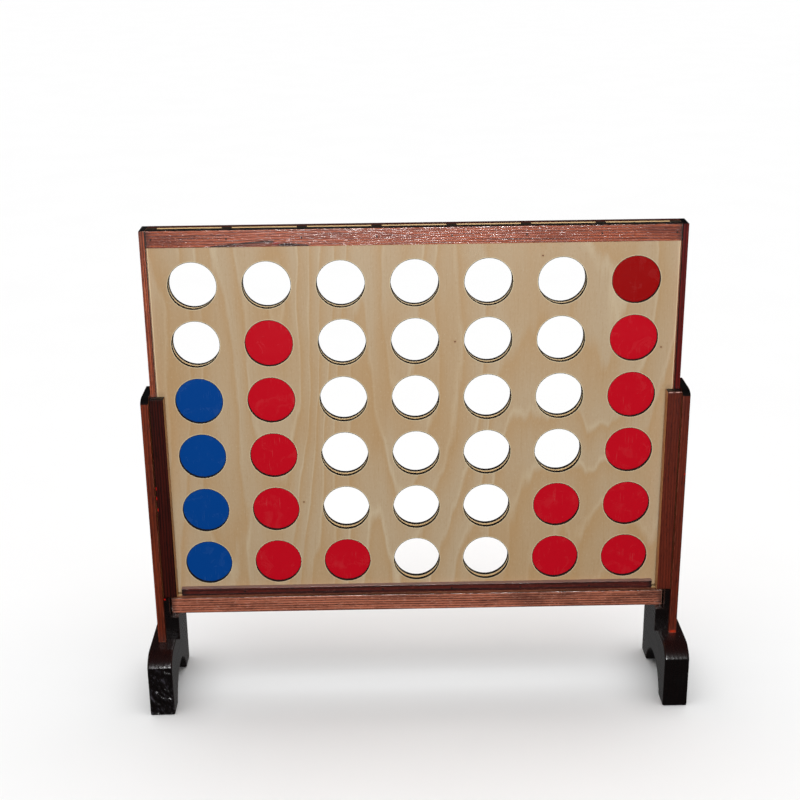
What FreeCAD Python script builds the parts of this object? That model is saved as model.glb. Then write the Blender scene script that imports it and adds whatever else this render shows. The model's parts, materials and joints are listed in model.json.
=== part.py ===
import FreeCAD, Part
import math
import os

os.makedirs("parts", exist_ok=True)

# Giant four in a row, in millimetres.
# +X is the player's right, -Y is the front, +Z is up.
# The origin is on the ground, under the middle of the whole game.

# ---- playing grid --------------------------------------------------------
COLUMNS = 7
ROWS = 6
COLUMN_PITCH = 123.3
ROW_PITCH = 101.6
HOLE_RADIUS = 40.3
BOTTOM_HOLE_Z = 254.3
DISC_RADIUS = 50.75
DISC_THICKNESS = 6.5
DISC_EDGE_RADIUS = 1.6
DISC_REST_GAP = 0.3
CHANNEL_WIDTH = 106.5

# ---- board ---------------------------------------------------------------
BOARD_BOTTOM = 196.5
BOARD_TOP = 858.0
BOARD_HALF_WIDTH = 450.8
SLOT_DEPTH = 8.0
PANEL_THICKNESS = 6.5
RAIL_THICKNESS = 9.6
SIDE_THICKNESS = 10.5
TOP_RAIL_HEIGHT = 28.5
BOTTOM_RAIL_BOTTOM = 193.0
BOTTOM_RAIL_TOP = 207.5
BOTTOM_RAIL_HALF_LENGTH = 421.0

# ---- legs ----------------------------------------------------------------
SIDE_GAP = 1.0
GUIDE_GAP = 0.8
POST_THICKNESS = 13.3
POST_HALF_DEPTH = 44.2
POST_TOP = 574.2
POST_CORNER_RADIUS = 24.0
POST_CORNER_RUN = 18.0
GUIDE_WIDTH = 25.2
GUIDE_DEPTH = 17.0
GUIDE_TOP = 572.6
GUIDE_BOTTOM = 199.0
LEG_EASE = 2.0
BLOCK_WIDTH = 24.6
BLOCK_HALF_DEPTH = 35.5
FOOT_HALF_LENGTH = 103.0
FOOT_HEIGHT = 114.5
FOOT_INNER_X = 434.8
FOOT_OUTER_X = 478.2
FOOT_SHOULDER_RADIUS = 40.0
FOOT_SHOULDER_DROP = 22.0
FOOT_TOE_RADIUS = 3.0
FOOT_SOLE_RADIUS = 3.0
FOOT_EASE = 2.4
ARCH_RADIUS = 64.0
ARCH_RISE = 49.0

# ---- release bar ---------------------------------------------------------
RELEASE_HALF_LENGTH = 440.6
RELEASE_END_GAP = 1.9
LIP_BOTTOM = 159.0
LIP_TOP = 188.5
LIP_TO_SHELF_GAP = 0.5
PLATE_TOP = 192.3
PLATE_THICKNESS = 10.0
SHELF_GAP = 0.3

# ---- fasteners -----------------------------------------------------------
BRAD_RADIUS = 0.9
BRAD_LENGTH = 19.0
SCREW_HEAD_RADIUS = 3.8
SCREW_HEAD_DEPTH = 2.6
SCREW_SHANK_RADIUS = 1.9
LEG_SCREW_LENGTH = 34.0
SIDE_SCREW_LENGTH = 25.0
SIDE_SCREW_COUNT = 4
SIDE_SCREW_INSET = 35.0
GUIDE_SCREW_INSET = 40.0
BLOCK_SCREW_SPREAD = 12.0
LAG_HEAD_RADIUS = 6.0
LAG_HEAD_HEIGHT = 4.0
LAG_SHANK_RADIUS = 2.6
LAG_LENGTH = 72.0
LAG_HEAD_Z = 68.0
LAG_X = 445.0
LAG_SPREAD = 24.0
COUNTERBORE_RADIUS = 6.5
CROSS_SLOT_WIDTH = 1.1
CROSS_SLOT_LENGTH = 4.4
CROSS_SLOT_DEPTH = 1.4
HEX_POINTS = 6

EASE = 0.8
TOLERANCE = 0.01

# ---- dimensions that follow from the ones above ---------------------------
SLOT_HALF = SLOT_DEPTH / 2
PANEL_FRONT = SLOT_HALF + PANEL_THICKNESS
BOARD_HALF_DEPTH = PANEL_FRONT + RAIL_THICKNESS
SIDE_INNER_X = BOARD_HALF_WIDTH - SIDE_THICKNESS
HALF_CHANNEL = CHANNEL_WIDTH / 2
DIVIDER_HALF_WIDTH = (COLUMN_PITCH - CHANNEL_WIDTH) / 2
OUTER_COLUMN_X = COLUMN_PITCH * (COLUMNS - 1) / 2
EDGE_SPACER_INNER_X = OUTER_COLUMN_X + HALF_CHANNEL
EDGE_SPACER_MIDDLE_X = (EDGE_SPACER_INNER_X + SIDE_INNER_X) / 2
TOP_RAIL_BOTTOM = BOARD_TOP - TOP_RAIL_HEIGHT
POST_INNER_X = BOARD_HALF_WIDTH + SIDE_GAP
POST_OUTER_X = POST_INNER_X + POST_THICKNESS
GUIDE_INNER_X = POST_INNER_X - GUIDE_WIDTH
GUIDE_BACK_Y = BOARD_HALF_DEPTH + GUIDE_GAP
GUIDE_FRONT_Y = GUIDE_BACK_Y + GUIDE_DEPTH
BLOCK_INNER_X = POST_INNER_X - BLOCK_WIDTH
CHEEK_INNER_X = RELEASE_HALF_LENGTH + RELEASE_END_GAP
PLATE_BOTTOM = PLATE_TOP - PLATE_THICKNESS
SHELF_TOP = PLATE_BOTTOM - SHELF_GAP
SHELF_FRONT_Y = -PANEL_FRONT + LIP_TO_SHELF_GAP
STEP_Z = LIP_BOTTOM - SHELF_GAP
FOOT_TOE_Z = FOOT_HEIGHT - FOOT_SHOULDER_DROP
BOTTOM_DISC_Z = PLATE_TOP + DISC_REST_GAP + DISC_RADIUS

X_AXIS = FreeCAD.Vector(1, 0, 0)
Y_AXIS = FreeCAD.Vector(0, 1, 0)
Z_AXIS = FreeCAD.Vector(0, 0, 1)
CENTRE = FreeCAD.Vector(0, 0, 0)


# ---- helpers -------------------------------------------------------------
def block(x0, x1, y0, y1, z0, z1):
    """A box between two corners, whichever way round they are given."""
    low = FreeCAD.Vector(min(x0, x1), min(y0, y1), min(z0, z1))
    return Part.makeBox(abs(x1 - x0), abs(y1 - y0), abs(z1 - z0), low)


def ease(shape, wanted, radius=EASE):
    """Round the straight edges whose middle point and direction are wanted."""
    edges = []
    for edge in shape.Edges:
        first, last = edge.Vertexes[0].Point, edge.Vertexes[-1].Point
        if wanted((first + last) / 2, last - first):
            edges.append(edge)
    return shape.makeFillet(radius, edges)


def near(value, *targets):
    return any(abs(value - target) < TOLERANCE for target in targets)


def along_x(direction):
    return abs(direction.x) > TOLERANCE and near(direction.y, 0) and near(direction.z, 0)


def along_z(direction):
    return abs(direction.z) > TOLERANCE and near(direction.x, 0) and near(direction.y, 0)


def left_copy(shape):
    """The left hand twin of a piece made on the right."""
    return shape.mirror(CENTRE, X_AXIS)


def rear_copy(shape):
    """The rear twin of a piece made at the front."""
    return shape.mirror(CENTRE, Y_AXIS)


def without(shape, cutters):
    return shape.cut(Part.Compound(cutters))


def save(shape, node):
    shape.exportStep(f"parts/{node}.step")


def column_x(column):
    """Middle of a column, counted from 1 on the player's left."""
    return (column - (COLUMNS + 1) / 2) * COLUMN_PITCH


def divider_x(divider):
    """Middle of the strip between columns divider and divider + 1."""
    return column_x(divider) + COLUMN_PITCH / 2


# ---- fasteners -----------------------------------------------------------
def front_brad(x, z):
    """A headless brad driven back from the front face of a rail."""
    return Part.makeCylinder(BRAD_RADIUS, BRAD_LENGTH, FreeCAD.Vector(x, -BOARD_HALF_DEPTH, z), Y_AXIS)


def front_brads():
    """One brad at each divider and edge strip, in the top and bottom rails."""
    spots = [divider_x(divider) for divider in range(1, COLUMNS)]
    rail_ends = [-EDGE_SPACER_MIDDLE_X, EDGE_SPACER_MIDDLE_X]
    top_z = TOP_RAIL_BOTTOM + TOP_RAIL_HEIGHT / 2
    bottom_z = (BOTTOM_RAIL_BOTTOM + BOTTOM_RAIL_TOP) / 2
    brads = [front_brad(x, top_z) for x in spots + rail_ends]
    brads += [front_brad(x, bottom_z) for x in spots]
    return brads


def screw_body(face_x, y, z, length):
    """Countersunk head and plain shank, driven inward from a right hand face."""
    top = FreeCAD.Vector(face_x, y, z)
    head = Part.makeCone(SCREW_HEAD_RADIUS, SCREW_SHANK_RADIUS, SCREW_HEAD_DEPTH, top, -X_AXIS)
    shank = Part.makeCylinder(SCREW_SHANK_RADIUS, length, top, -X_AXIS)
    return head.fuse(shank).removeSplitter()


def screw(face_x, y, z, length):
    """A countersunk wood screw with a cross slot in its head."""
    half = CROSS_SLOT_LENGTH / 2
    thin = CROSS_SLOT_WIDTH / 2
    floor_x = face_x - CROSS_SLOT_DEPTH
    upright = block(floor_x, face_x, y - thin, y + thin, z - half, z + half)
    level = block(floor_x, face_x, y - half, y + half, z - thin, z + thin)
    return screw_body(face_x, y, z, length).cut(upright.fuse(level))


def side_screw_spots():
    """Side board to edge strip: a row of screws up the middle line."""
    first = BOARD_BOTTOM + SIDE_SCREW_INSET
    step = (BOARD_TOP - SIDE_SCREW_INSET - first) / (SIDE_SCREW_COUNT - 1)
    heights = [first + number * step for number in range(SIDE_SCREW_COUNT)]
    return [(BOARD_HALF_WIDTH, 0, z, SIDE_SCREW_LENGTH) for z in heights]


def leg_screw_spots():
    """Post to guides, to the stop block, and through the cheek to the shelf."""
    guide_y = (GUIDE_BACK_Y + GUIDE_FRONT_Y) / 2
    guide_middle = (GUIDE_BOTTOM + GUIDE_TOP) / 2
    guide_heights = [GUIDE_BOTTOM + GUIDE_SCREW_INSET, guide_middle, GUIDE_TOP - GUIDE_SCREW_INSET]
    places = [(y, z) for y in (-guide_y, guide_y) for z in guide_heights]
    places += [(y, (FOOT_HEIGHT + STEP_Z) / 2) for y in (-BLOCK_SCREW_SPREAD, BLOCK_SCREW_SPREAD)]
    places.append((0, (STEP_Z + SHELF_TOP) / 2))
    return [(POST_OUTER_X, y, z, LEG_SCREW_LENGTH) for y, z in places]


def foot_lag(y):
    """A hex-headed lag screw from under the foot up into the stop block."""
    corners = []
    for number in range(HEX_POINTS + 1):
        angle = 2 * math.pi * number / HEX_POINTS
        x = LAG_X + LAG_HEAD_RADIUS * math.cos(angle)
        corners.append(FreeCAD.Vector(x, y + LAG_HEAD_RADIUS * math.sin(angle), LAG_HEAD_Z - LAG_HEAD_HEIGHT))
    head = Part.Face(Part.makePolygon(corners)).extrude(Z_AXIS * LAG_HEAD_HEIGHT)
    shank = Part.makeCylinder(LAG_SHANK_RADIUS, LAG_LENGTH, FreeCAD.Vector(LAG_X, y, LAG_HEAD_Z), Z_AXIS)
    return head.fuse(shank)


def lag_hole(y):
    """The counterbore in the arch and the hole for one lag screw."""
    bore = Part.makeCylinder(COUNTERBORE_RADIUS, LAG_HEAD_Z, FreeCAD.Vector(LAG_X, y, 0), Z_AXIS)
    shank = Part.makeCylinder(LAG_SHANK_RADIUS, LAG_LENGTH, FreeCAD.Vector(LAG_X, y, LAG_HEAD_Z), Z_AXIS)
    return bore.fuse(shank)


# ---- board ---------------------------------------------------------------
def front_panel(brads):
    """Thin sheet with a round hole at every place of the grid."""
    sheet = block(-SIDE_INNER_X, SIDE_INNER_X, -PANEL_FRONT, -SLOT_HALF, BOARD_BOTTOM, BOARD_TOP)
    holes = []
    for column in range(1, COLUMNS + 1):
        for row in range(ROWS):
            centre = FreeCAD.Vector(column_x(column), -PANEL_FRONT, BOTTOM_HOLE_Z + row * ROW_PITCH)
            holes.append(Part.makeCylinder(HOLE_RADIUS, PANEL_THICKNESS, centre, Y_AXIS))
    return without(sheet, holes + brads)


def side_board(holes):
    """Thin upright board closing the right hand end of the grid."""
    board = block(SIDE_INNER_X, BOARD_HALF_WIDTH, -BOARD_HALF_DEPTH, BOARD_HALF_DEPTH,
                  BOARD_BOTTOM, BOARD_TOP)
    board = ease(board, lambda middle, way: near(middle.x, BOARD_HALF_WIDTH) or near(middle.z, BOARD_TOP))
    return without(board, holes)


def front_rail(half_length, bottom, top, brads):
    """Strip across the front of the panel, its two front edges eased."""
    rail = block(-half_length, half_length, -BOARD_HALF_DEPTH, -PANEL_FRONT, bottom, top)
    rail = ease(rail, lambda middle, way: along_x(way) and near(middle.y, -BOARD_HALF_DEPTH))
    return without(rail, brads)


def divider(number, brads):
    """Upright strip that keeps two neighbouring columns apart."""
    x = divider_x(number)
    strip = block(x - DIVIDER_HALF_WIDTH, x + DIVIDER_HALF_WIDTH, -SLOT_HALF, SLOT_HALF,
                  BOARD_BOTTOM, BOARD_TOP)
    return without(strip, brads)


def edge_spacer(cutters):
    """Upright strip between the outer column and the right hand side board."""
    strip = block(EDGE_SPACER_INNER_X, SIDE_INNER_X, -SLOT_HALF, SLOT_HALF,
                  BOARD_BOTTOM, BOARD_TOP)
    return without(strip, cutters)


def make_board():
    brads = front_brads()
    rear_brads = [rear_copy(brad) for brad in brads]
    screw_holes = [screw_body(*spot) for spot in side_screw_spots()]
    panel = front_panel(brads)
    side = side_board(screw_holes)
    top_rail = front_rail(SIDE_INNER_X, TOP_RAIL_BOTTOM, BOARD_TOP, brads)
    bottom_rail = front_rail(BOTTOM_RAIL_HALF_LENGTH, BOTTOM_RAIL_BOTTOM, BOTTOM_RAIL_TOP, brads)
    spacer = edge_spacer(screw_holes + brads + rear_brads)
    screws = [screw(*spot) for spot in side_screw_spots()]
    save(panel, "front_panel")
    save(rear_copy(panel), "rear_panel")
    save(side, "right_side_board")
    save(left_copy(side), "left_side_board")
    save(top_rail, "front_top_rail")
    save(rear_copy(top_rail), "rear_top_rail")
    save(bottom_rail, "front_bottom_rail")
    save(rear_copy(bottom_rail), "rear_bottom_rail")
    save(spacer, "right_edge_spacer")
    save(left_copy(spacer), "left_edge_spacer")
    for number in range(1, COLUMNS):
        save(divider(number, brads + rear_brads), f"divider_{number}")
    save(Part.Compound(brads), "front_rail_brads")
    save(Part.Compound(rear_brads), "rear_rail_brads")
    save(Part.Compound(screws + [left_copy(one) for one in screws]), "side_board_screws")


# ---- legs ----------------------------------------------------------------
def post(holes):
    """Wide outer board of a leg, its two top corners rounded off."""
    shoulder_y = POST_HALF_DEPTH - POST_CORNER_RUN
    centre_z = POST_TOP - POST_CORNER_RADIUS
    arris_z = centre_z + math.sqrt(POST_CORNER_RADIUS ** 2 - POST_CORNER_RUN ** 2)
    halfway = math.asin(POST_CORNER_RUN / POST_CORNER_RADIUS) / 2
    bulge_y = shoulder_y + POST_CORNER_RADIUS * math.sin(halfway)
    bulge_z = centre_z + POST_CORNER_RADIUS * math.cos(halfway)

    def at(y, z):
        return FreeCAD.Vector(POST_INNER_X, y, z)

    edges = [
        Part.LineSegment(at(-POST_HALF_DEPTH, FOOT_HEIGHT), at(-POST_HALF_DEPTH, arris_z)),
        Part.Arc(at(-POST_HALF_DEPTH, arris_z), at(-bulge_y, bulge_z), at(-shoulder_y, POST_TOP)),
        Part.LineSegment(at(-shoulder_y, POST_TOP), at(shoulder_y, POST_TOP)),
        Part.Arc(at(shoulder_y, POST_TOP), at(bulge_y, bulge_z), at(POST_HALF_DEPTH, arris_z)),
        Part.LineSegment(at(POST_HALF_DEPTH, arris_z), at(POST_HALF_DEPTH, FOOT_HEIGHT)),
        Part.LineSegment(at(POST_HALF_DEPTH, FOOT_HEIGHT), at(-POST_HALF_DEPTH, FOOT_HEIGHT)),
    ]
    outline = Part.Wire([edge.toShape() for edge in edges])
    board = Part.Face(outline).extrude(X_AXIS * POST_THICKNESS)
    board = ease(board, lambda middle, way: along_z(way), LEG_EASE)
    return without(board, holes)


def front_guide(holes):
    """Upright strip in front of the board's side, screwed to the post."""
    strip = block(GUIDE_INNER_X, POST_INNER_X, -GUIDE_FRONT_Y, -GUIDE_BACK_Y, GUIDE_BOTTOM, GUIDE_TOP)
    strip = ease(strip, lambda middle, way: near(middle.y, -GUIDE_FRONT_Y) or near(middle.z, GUIDE_TOP),
                 LEG_EASE)
    return without(strip, holes)


def stop_block(holes):
    """Lower block between foot and release bar; its top is the bar's step."""
    piece = block(BLOCK_INNER_X, POST_INNER_X, -BLOCK_HALF_DEPTH, BLOCK_HALF_DEPTH, FOOT_HEIGHT, STEP_Z)
    piece = ease(piece, lambda middle, way: along_z(way) and near(middle.x, BLOCK_INNER_X))
    return without(piece, holes)


def rest_cheek(holes):
    """Outer strip beside the release bar's end; the board stands on its top."""
    piece = block(CHEEK_INNER_X, POST_INNER_X, -BLOCK_HALF_DEPTH, BLOCK_HALF_DEPTH, STEP_Z, BOARD_BOTTOM)
    return without(piece, holes)


def slide_shelf(holes):
    """Inner step that carries the end of the release plate."""
    piece = block(BLOCK_INNER_X, CHEEK_INNER_X, SHELF_FRONT_Y, BLOCK_HALF_DEPTH, STEP_Z, SHELF_TOP)
    return without(piece, holes)


def shoulder_waste(side):
    """What a foot loses above the long curve that runs down to its end: side is -1 in front, 1 behind."""
    centre_z = FOOT_HEIGHT - FOOT_SHOULDER_RADIUS
    start_y = FOOT_HALF_LENGTH - math.sqrt(FOOT_SHOULDER_RADIUS ** 2 - (FOOT_TOE_Z - centre_z) ** 2)
    corner = block(FOOT_INNER_X, FOOT_OUTER_X, side * start_y, side * FOOT_HALF_LENGTH, FOOT_TOE_Z, FOOT_HEIGHT)
    centre = FreeCAD.Vector(FOOT_INNER_X, side * start_y, centre_z)
    curve = Part.makeCylinder(FOOT_SHOULDER_RADIUS, FOOT_OUTER_X - FOOT_INNER_X, centre, X_AXIS)
    return corner.cut(curve)


def foot():
    """Thick arched foot whose top curves down at both ends, the same front and back."""
    body = block(FOOT_INNER_X, FOOT_OUTER_X, -FOOT_HALF_LENGTH, FOOT_HALF_LENGTH, 0, FOOT_HEIGHT)
    body = without(body, [shoulder_waste(-1), shoulder_waste(1)])
    body = ease(body, lambda middle, way: along_x(way) and near(middle.z, FOOT_TOE_Z), FOOT_TOE_RADIUS)
    body = ease(body, lambda middle, way: along_x(way) and near(middle.z, 0), FOOT_SOLE_RADIUS)
    arch_centre = FreeCAD.Vector(FOOT_INNER_X, 0, ARCH_RISE - ARCH_RADIUS)
    body = body.cut(Part.makeCylinder(ARCH_RADIUS, FOOT_OUTER_X - FOOT_INNER_X, arch_centre, X_AXIS))
    body = ease(body, lambda middle, way: near(middle.x, FOOT_INNER_X, FOOT_OUTER_X), FOOT_EASE)
    return without(body, [lag_hole(-LAG_SPREAD), lag_hole(LAG_SPREAD)])


def make_legs():
    holes = [screw_body(*spot) for spot in leg_screw_spots()]
    lags = [foot_lag(-LAG_SPREAD), foot_lag(LAG_SPREAD)]
    lag_holes = [lag_hole(-LAG_SPREAD), lag_hole(LAG_SPREAD)]
    guide = front_guide(holes)
    pieces = {
        "post": post(holes),
        "front_guide": guide,
        "rear_guide": rear_copy(guide),
        "stop_block": stop_block(holes + lag_holes),
        "rest_cheek": rest_cheek(holes),
        "slide_shelf": slide_shelf(holes),
        "foot": foot(),
        "leg_screws": Part.Compound([screw(*spot) for spot in leg_screw_spots()]),
        "foot_lags": Part.Compound(lags),
    }
    for name, shape in pieces.items():
        save(shape, f"right_{name}")
        save(left_copy(shape), f"left_{name}")


# ---- release bar ---------------------------------------------------------
def make_release_bar():
    """Lip that the player pulls, and the plate behind it under the columns."""
    lip = block(-RELEASE_HALF_LENGTH, RELEASE_HALF_LENGTH, -BOARD_HALF_DEPTH, -PANEL_FRONT,
                LIP_BOTTOM, LIP_TOP)
    lip = ease(lip, lambda middle, way: near(middle.y, -BOARD_HALF_DEPTH))
    plate = block(-RELEASE_HALF_LENGTH, RELEASE_HALF_LENGTH, -PANEL_FRONT, BOARD_HALF_DEPTH,
                  PLATE_BOTTOM, PLATE_TOP)
    save(lip, "release_lip")
    save(plate, "release_plate")


# ---- discs ---------------------------------------------------------------
# What stands in each column, from the bottom up.
STACKS = {
    1: ["blue"] * 4,
    2: ["red"] * 5,
    3: ["red"],
    6: ["red"] * 2,
    7: ["red"] * 6,
}


def disc(column, level):
    """Flat disc standing on its rim, its rim edges rounded."""
    centre = FreeCAD.Vector(column_x(column), -DISC_THICKNESS / 2, BOTTOM_DISC_Z + level * ROW_PITCH)
    body = Part.makeCylinder(DISC_RADIUS, DISC_THICKNESS, centre, Y_AXIS)
    rims = [edge for edge in body.Edges if edge.Closed and edge.Curve.TypeId == "Part::GeomCircle"]
    return body.makeFillet(DISC_EDGE_RADIUS, rims)


def make_discs():
    for column, colours in STACKS.items():
        for level, colour in enumerate(colours):
            save(disc(column, level), f"{colour}_disc_{column}_{level + 1}")


make_board()
make_legs()
make_release_bar()
make_discs()
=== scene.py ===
import json
import math

import bpy
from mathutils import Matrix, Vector, noise


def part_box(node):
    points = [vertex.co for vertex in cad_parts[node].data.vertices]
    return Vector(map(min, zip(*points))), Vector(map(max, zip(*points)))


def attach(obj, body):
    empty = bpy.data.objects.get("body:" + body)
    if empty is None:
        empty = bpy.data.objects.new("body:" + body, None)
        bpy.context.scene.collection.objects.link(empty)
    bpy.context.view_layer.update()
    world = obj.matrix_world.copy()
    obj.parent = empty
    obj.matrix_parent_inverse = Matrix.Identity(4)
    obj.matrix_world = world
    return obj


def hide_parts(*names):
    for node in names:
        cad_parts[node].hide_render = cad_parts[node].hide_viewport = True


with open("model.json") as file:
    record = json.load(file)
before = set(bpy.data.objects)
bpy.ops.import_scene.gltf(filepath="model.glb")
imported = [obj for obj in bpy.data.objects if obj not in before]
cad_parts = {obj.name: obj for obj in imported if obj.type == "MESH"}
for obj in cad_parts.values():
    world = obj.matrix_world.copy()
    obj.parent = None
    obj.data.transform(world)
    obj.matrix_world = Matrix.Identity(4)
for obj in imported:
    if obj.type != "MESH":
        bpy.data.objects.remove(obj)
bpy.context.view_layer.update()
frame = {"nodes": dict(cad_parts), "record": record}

# Looks of the giant four in a row. Metres throughout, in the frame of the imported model:
# +X the player's right, -Y the front, +Z up.

SIDES = ("left", "right")
ENDS = ("front", "rear")
DIVIDERS = range(1, 7)
STACKS = {1: ("blue", 4), 2: ("red", 5), 3: ("red", 1), 6: ("red", 2), 7: ("red", 6)}
AXES = "XYZ"


# ---- camera ----------------------------------------------------------------
CAMERA_PLACE = (-0.0547, -2.2729, 1.3644)
CAMERA_TURN = (70.330, 0.642, -0.939)
CAMERA_LENS = 63.13
SENSOR_WIDTH = 36.0


def make_camera():
    data = bpy.data.cameras.new("camera")
    data.lens = CAMERA_LENS
    data.sensor_width = SENSOR_WIDTH
    camera = bpy.data.objects.new("camera", data)
    camera.location = CAMERA_PLACE
    camera.rotation_euler = [math.radians(angle) for angle in CAMERA_TURN]
    bpy.context.scene.collection.objects.link(camera)
    bpy.context.scene.camera = camera


# ---- material graphs ---------------------------------------------------------
def paint(red, green, blue):
    """A display colour from 0 to 255 as the linear colour that a shader takes."""
    linear = []
    for part in (red / 255, green / 255, blue / 255):
        linear.append(part / 12.92 if part <= 0.04045 else ((part + 0.055) / 1.055) ** 2.4)
    return (*linear, 1.0)


def darker(colour, share):
    return (*[part * share for part in colour[:3]], 1.0)


MIX_COLOUR_INPUTS = (0, 6, 7)
MIX_COLOUR_OUTPUT = 2


class Graph:
    """The node tree of one material. Most methods add a node and return its output."""

    def __init__(self, name):
        self.material = bpy.data.materials.new(name)
        self.material.use_nodes = True
        self.tree = self.material.node_tree
        self.tree.nodes.clear()
        coordinates = self.add("ShaderNodeTexCoord")
        self.place = coordinates.outputs["Object"]
        self.facing = coordinates.outputs["Normal"]

    def add(self, kind, inputs=None, **settings):
        node = self.tree.nodes.new(kind)
        for key, value in settings.items():
            setattr(node, key, value)
        for socket, value in (inputs or {}).items():
            self.put(node.inputs[socket], value)
        return node

    def put(self, socket, value):
        if isinstance(value, bpy.types.NodeSocket):
            self.tree.links.new(value, socket)
        else:
            socket.default_value = value

    def math(self, operation, *values):
        node = self.add("ShaderNodeMath", operation=operation)
        for socket, value in zip(node.inputs, values):
            self.put(socket, value)
        return node.outputs[0]

    def total(self, *values):
        """The sum of the values."""
        sum_so_far = values[0]
        for value in values[1:]:
            sum_so_far = self.math("ADD", sum_so_far, value)
        return sum_so_far

    def product(self, *values):
        result = values[0]
        for value in values[1:]:
            result = self.math("MULTIPLY", result, value)
        return result

    def split(self, vector):
        return self.add("ShaderNodeSeparateXYZ", {0: vector}).outputs

    def join(self, x, y, z):
        return self.add("ShaderNodeCombineXYZ", {0: x, 1: y, 2: z}).outputs[0]

    def mapped(self, vector, scale=(1, 1, 1), shift=(0, 0, 0), turn=(0, 0, 0)):
        """The vector scaled, turned (in degrees) and shifted."""
        angles = [math.radians(angle) for angle in turn]
        node = self.add("ShaderNodeMapping", {"Vector": vector, "Scale": scale})
        node.inputs["Location"].default_value = shift
        node.inputs["Rotation"].default_value = angles
        return node.outputs[0]

    def noise(self, vector, scale=1.0, detail=2.0, roughness=0.5, distortion=0.0):
        inputs = {"Vector": vector, "Scale": scale, "Detail": detail}
        inputs.update({"Roughness": roughness, "Distortion": distortion})
        return self.add("ShaderNodeTexNoise", inputs).outputs[0]

    def smooth(self, value, low, high, start=0.0, end=1.0):
        """start below low, end above high, and a smooth step between them."""
        inputs = {"Value": value, "From Min": low, "From Max": high, "To Min": start, "To Max": end}
        return self.add("ShaderNodeMapRange", inputs, interpolation_type="SMOOTHSTEP").outputs[0]

    def linear(self, value, low, high, start=0.0, end=1.0):
        inputs = {"Value": value, "From Min": low, "From Max": high, "To Min": start, "To Max": end}
        return self.add("ShaderNodeMapRange", inputs).outputs[0]

    def curve(self, value, points):
        """A grey value that runs through (position, value) points."""
        ramp = self.add("ShaderNodeValToRGB", {0: value})
        stops = ramp.color_ramp.elements
        while len(stops) < len(points):
            stops.new(0.5)
        for stop, (position, level) in zip(stops, points):
            stop.position = position
            stop.color = (level, level, level, 1.0)
        return ramp.outputs[0]

    def mix(self, factor, first, second):
        """The first colour at a factor of 0 and the second at 1."""
        node = self.add("ShaderNodeMix", data_type="RGBA")
        for number, value in zip(MIX_COLOUR_INPUTS, (factor, first, second)):
            self.put(node.inputs[number], value)
        return node.outputs[MIX_COLOUR_OUTPUT]

    def faces(self, axis):
        """1 on faces square to the axis, 0 on the others."""
        part = self.math("ABSOLUTE", self.split(self.facing)[AXES.index(axis)])
        return self.smooth(part, 0.6, 0.9)

    def faces_up(self):
        """1 on faces that look up, 0 on the others."""
        return self.smooth(self.split(self.facing)[2], 0.35, 0.8)

    def from_face(self, low, high, axis):
        """Distance in from the nearer of the box's two faces square to the axis."""
        number = AXES.index(axis)
        part = self.split(self.place)[number]
        in_low = self.math("SUBTRACT", part, low[number])
        in_high = self.math("SUBTRACT", high[number], part)
        return self.math("MINIMUM", in_low, in_high)

    def from_edge(self, low, high):
        """Distance from a box's nearest edge: the middle one of the three distances in from its faces."""
        a, b, c = [self.from_face(low, high, axis) for axis in AXES]
        smaller = self.math("MINIMUM", a, b)
        larger = self.math("MAXIMUM", a, b)
        return self.math("MAXIMUM", smaller, self.math("MINIMUM", larger, c))

    def spot_distance(self, axes, spot, shape=(1.0, 1.0)):
        """Distance from a spot in the plane of two axes, each divided by the spot's shape."""
        parts = self.split(self.place)
        squares = []
        for axis, value, size in zip(axes, spot, shape):
            side = self.math("SUBTRACT", parts[AXES.index(axis)], value)
            side = self.math("DIVIDE", side, size)
            squares.append(self.product(side, side))
        return self.math("SQRT", self.total(*squares))

    def near_spots(self, axes, spots, inner, outer, shape=(1.0, 1.0)):
        """1 within inner of any of the spots and 0 beyond outer."""
        nearest = self.spot_distance(axes, spots[0], shape)
        for spot in spots[1:]:
            nearest = self.math("MINIMUM", nearest, self.spot_distance(axes, spot, shape))
        return self.smooth(nearest, inner, outer, 1.0, 0.0)

    def bump(self, height, relief):
        """A bumped normal: height is the bump's value, relief its depth in metres."""
        inputs = {"Height": height, "Distance": relief, "Strength": 1.0}
        return self.add("ShaderNodeBump", inputs).outputs[0]

    def finish(self, colour, roughness, normal, coat_normal=None, **shader):
        """The finished material. The other settings are constants of its shader, by socket name."""
        surface = self.add("ShaderNodeBsdfPrincipled")
        self.put(surface.inputs["Base Color"], colour)
        self.put(surface.inputs["Roughness"], roughness)
        self.put(surface.inputs["Normal"], normal)
        if coat_normal is not None:
            self.put(surface.inputs["Coat Normal"], coat_normal)
        for socket, value in shader.items():
            surface.inputs[socket.replace("_", " ")].default_value = value
        output = self.add("ShaderNodeOutputMaterial")
        self.tree.links.new(surface.outputs[0], output.inputs[0])
        return self.material


# ---- wood --------------------------------------------------------------------
# How each finish looks: early and late are the colours of a ring's soft and hard
# wood, deep is where stain pools and the colour of the painted shade at the ends, worn is an edge
# rubbed back, streaks how strongly dark stain gathers along the fibres, gloss the varnish over it,
# and glints how much the rough fibres that stand up through the varnish sparkle, and how strongly
# pale flecks are painted in as painted sparkle.
REDDISH = {
    "early": paint(206, 98, 54), "late": paint(110, 36, 18), "deep": paint(46, 9, 5),
    "worn": paint(228, 140, 108), "rough": 0.42, "gloss": 0.3, "streaks": 0.55, "glints": 0.8,
}
RED_SIDE = {
    "early": paint(112, 18, 14), "late": paint(72, 8, 6), "deep": paint(30, 3, 3),
    "worn": paint(160, 60, 50), "rough": 0.38, "gloss": 0.2, "streaks": 0.5, "glints": 0.1,
}
PINKISH = {
    "early": paint(226, 132, 98), "late": paint(66, 18, 10), "deep": paint(46, 12, 7),
    "worn": paint(240, 176, 150), "rough": 0.46, "gloss": 0.3, "streaks": 0.3, "glints": 1.0,
}
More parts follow.
